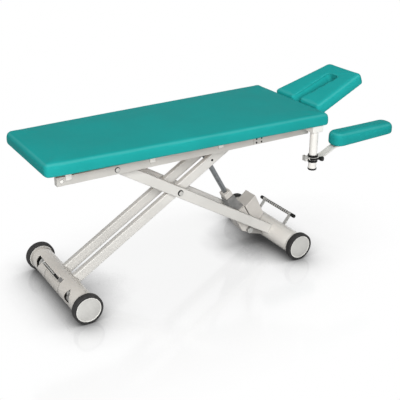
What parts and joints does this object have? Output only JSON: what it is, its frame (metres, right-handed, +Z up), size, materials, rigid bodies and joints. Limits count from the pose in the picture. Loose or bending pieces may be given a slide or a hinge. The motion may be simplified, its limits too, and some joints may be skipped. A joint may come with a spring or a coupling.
{
  "type": "electric treatment table",
  "caption": "Height-adjustable treatment table: padded top on a scissor lift with a spindle drive, roller tubes, tilting head rest with a breathing slot and swing-out arm rests.",
  "frame": {"origin": "on the floor, under the middle of the table's box", "axes": "+X along the table towards the head end, +Z up, -Y to the near side of the picture"},
  "size_m": [2.0048, 0.655, 0.9275],
  "materials": {
    "powder_coat": "satin",
    "wheel_plastic": "satin",
    "steel": "ground",
    "tyre": "matt",
    "black_plastic": "satin",
    "grey_casting": "satin",
    "housing_plastic": "satin",
    "plywood": "raw",
    "vinyl": "satin"
  },
  "bodies": {
    "base": {"foot_axle": "steel", "foot_tyre_near": "tyre", "foot_tyre_far": "tyre", "foot_wheel_near": "wheel_plastic", "foot_wheel_far": "wheel_plastic"},
    "inner_arms": {"foot_tube": "powder_coat", "foot_cover": "powder_coat", "inner_arm_near": "powder_coat", "inner_arm_far": "powder_coat", "guide_axle": "steel", "cross_shaft": "steel"},
    "guide_roller_near": {"guide_roller_near": "black_plastic"},
    "guide_roller_far": {"guide_roller_far": "black_plastic"},
    "castor_fork_near": {"castor_fork_near": "steel"},
    "castor_fork_far": {"castor_fork_far": "steel"},
    "castor_near": {"castor_wheel_near": "wheel_plastic"},
    "castor_far": {"castor_wheel_far": "wheel_plastic"},
    "foot_lever": {"foot_lever": "steel"},
    "outer_arms": {"head_tube": "powder_coat", "outer_arm_near": "powder_coat", "outer_arm_far": "powder_coat", "head_axle": "steel", "top_pivot_shaft": "steel", "actuator_bracket": "powder_coat", "actuator_pin": "steel"},
    "head_wheel_near": {"head_tyre_near": "tyre", "head_wheel_near": "wheel_plastic"},
    "head_wheel_far": {"head_tyre_far": "tyre", "head_wheel_far": "wheel_plastic"},
    "pedal": {"pedal_lever_near": "grey_casting", "pedal_lever_far": "grey_casting", "pedal_bar": "grey_casting"},
    "actuator": {"drive_housing": "housing_plastic", "gear_block": "grey_casting", "spindle_collar": "housing_plastic", "motor_housing": "housing_plastic"},
    "lift_rod": {"lift_rod": "steel"},
    "top_frame": {"rail_near": "powder_coat", "rail_far": "powder_coat", "crossbar_foot": "powder_coat", "crossbar_middle": "powder_coat", "crossbar_waist": "powder_coat", "head_crossbar": "powder_coat", "pad_board": "plywood", "main_pad": "vinyl", "post_near": "powder_coat", "post_far": "powder_coat", "post_cap_near": "black_plastic", "post_cap_far": "black_plastic"},
    "headrest": {"headrest_frame": "powder_coat", "headrest_board": "plywood", "headrest_pad": "vinyl"},
    "arm_sleeve_near": {"arm_sleeve_near": "black_plastic"},
    "arm_rest_near": {"arm_clamp_near": "powder_coat", "arm_pad_near": "vinyl"},
    "arm_knob_near": {"arm_knob_near": "black_plastic"},
    "arm_sleeve_far": {"arm_sleeve_far": "black_plastic"},
    "arm_rest_far": {"arm_clamp_far": "powder_coat", "arm_pad_far": "vinyl"},
    "arm_knob_far": {"arm_knob_far": "black_plastic"}
  },
  "joints": [
    {"name": "lift", "type": "hinge", "parent": "base", "child": "inner_arms", "pos_m": [-0.8614, 0, 0.0755], "axis": [0, -1, 0], "range_deg": [-16.5, 8.5]},
    {"name": "scissor", "type": "hinge", "parent": "inner_arms", "child": "outer_arms", "pos_m": [-0.24, 0, 0.45406], "axis": [0, -1, 0], "range_deg": [-17, 33]},
    {"name": "platform_level", "type": "hinge", "parent": "outer_arms", "child": "top_frame", "pos_m": [-0.62089, 0, 0.6861], "axis": [0, -1, 0], "range_deg": [-16.5, 8.5]},
    {"name": "actuator_swing", "type": "hinge", "parent": "outer_arms", "child": "actuator", "pos_m": [0.23798, 0, 0.09929], "axis": [0, -1, 0], "range_deg": [-1, 2]},
    {"name": "rod_slide", "type": "slide", "parent": "actuator", "child": "lift_rod", "axis": [-0.4894, 0, 0.8721], "range_m": [-0.137, 0.071]},
    {"name": "pedal_rock", "type": "hinge", "parent": "outer_arms", "child": "pedal", "pos_m": [0.3814, 0, 0.0755], "axis": [0, -1, 0], "range_deg": [-10, 10], "stiffness_Nm_per_rad": 90},
    {"name": "lever_fold", "type": "hinge", "parent": "inner_arms", "child": "foot_lever", "pos_m": [-0.89818, 0.158, 0.11707], "axis": [-0.749, 0, -0.6626], "range_deg": [0, 90]},
    {"name": "headrest_tilt", "type": "hinge", "parent": "top_frame", "child": "headrest", "pos_m": [0.5484, 0, 0.735], "axis": [0, -1, 0], "range_deg": [-35, 10]},
    {"name": "guide_roll_near", "type": "hinge", "parent": "inner_arms", "child": "guide_roller_near", "pos_m": [0.14089, -0.168, 0.6861], "axis": [0, -1, 0], "range_deg": [-236, 455]},
    {"name": "castor_drop_near", "type": "slide", "parent": "inner_arms", "child": "castor_fork_near", "axis": [0, 0, -1], "range_m": [0, 0.0575]},
    {"name": "castor_roll_near", "type": "hinge", "parent": "castor_fork_near", "child": "castor_near", "pos_m": [-0.8954, -0.18, 0.0775], "axis": [0, -1, 0], "continuous": true},
    {"name": "head_roll_near", "type": "hinge", "parent": "outer_arms", "child": "head_wheel_near", "pos_m": [0.3814, -0.307, 0.0755], "axis": [0, -1, 0], "continuous": true},
    {"name": "arm_height_near", "type": "slide", "parent": "top_frame", "child": "arm_sleeve_near", "axis": [0, 0, 1], "range_m": [-0.025, 0.09]},
    {"name": "arm_swing_near", "type": "hinge", "parent": "arm_sleeve_near", "child": "arm_rest_near", "pos_m": [0.4724, -0.27, 0.56125], "axis": [0, 0, -1], "range_deg": [-10, 95]},
    {"name": "knob_turn_near", "type": "hinge", "parent": "arm_rest_near", "child": "arm_knob_near", "pos_m": [0.4724, -0.27, 0.56125], "axis": [0.5592, -0.829, 0], "range_deg": [-180, 180]},
    {"name": "guide_roll_far", "type": "hinge", "parent": "inner_arms", "child": "guide_roller_far", "pos_m": [0.14089, 0.168, 0.6861], "axis": [0, -1, 0], "range_deg": [-236, 455]},
    {"name": "castor_drop_far", "type": "slide", "parent": "inner_arms", "child": "castor_fork_far", "axis": [0, 0, -1], "range_m": [0, 0.0575]},
    {"name": "castor_roll_far", "type": "hinge", "parent": "castor_fork_far", "child": "castor_far", "pos_m": [-0.8954, 0.18, 0.0775], "axis": [0, -1, 0], "continuous": true},
    {"name": "head_roll_far", "type": "hinge", "parent": "outer_arms", "child": "head_wheel_far", "pos_m": [0.3814, 0.307, 0.0755], "axis": [0, -1, 0], "continuous": true},
    {"name": "arm_height_far", "type": "slide", "parent": "top_frame", "child": "arm_sleeve_far", "axis": [0, 0, 1], "range_m": [-0.025, 0.09]},
    {"name": "arm_swing_far", "type": "hinge", "parent": "arm_sleeve_far", "child": "arm_rest_far", "pos_m": [0.4724, 0.27, 0.56125], "axis": [0, 0, 1], "range_deg": [-10, 95]},
    {"name": "knob_turn_far", "type": "hinge", "parent": "arm_rest_far", "child": "arm_knob_far", "pos_m": [0.4724, 0.27, 0.56125], "axis": [0.5592, 0.829, 0], "range_deg": [-180, 180]}
  ],
  "couplings": [
    {"joint": "scissor", "follows": "lift", "ratio": -2},
    {"joint": "platform_level", "follows": "lift", "ratio": 1},
    {"joint": "actuator_swing", "follows": "lift", "ratio": -0.101},
    {"joint": "rod_slide", "follows": "lift", "m_per_rad": 0.472},
    {"joint": "guide_roll_near", "follows": "lift", "ratio": -27.22},
    {"joint": "castor_drop_near", "follows": "lever_fold", "m_per_rad": 0.03659},
    {"joint": "guide_roll_far", "follows": "lift", "ratio": -27.22},
    {"joint": "castor_drop_far", "follows": "lever_fold", "m_per_rad": 0.03659}
  ]
}
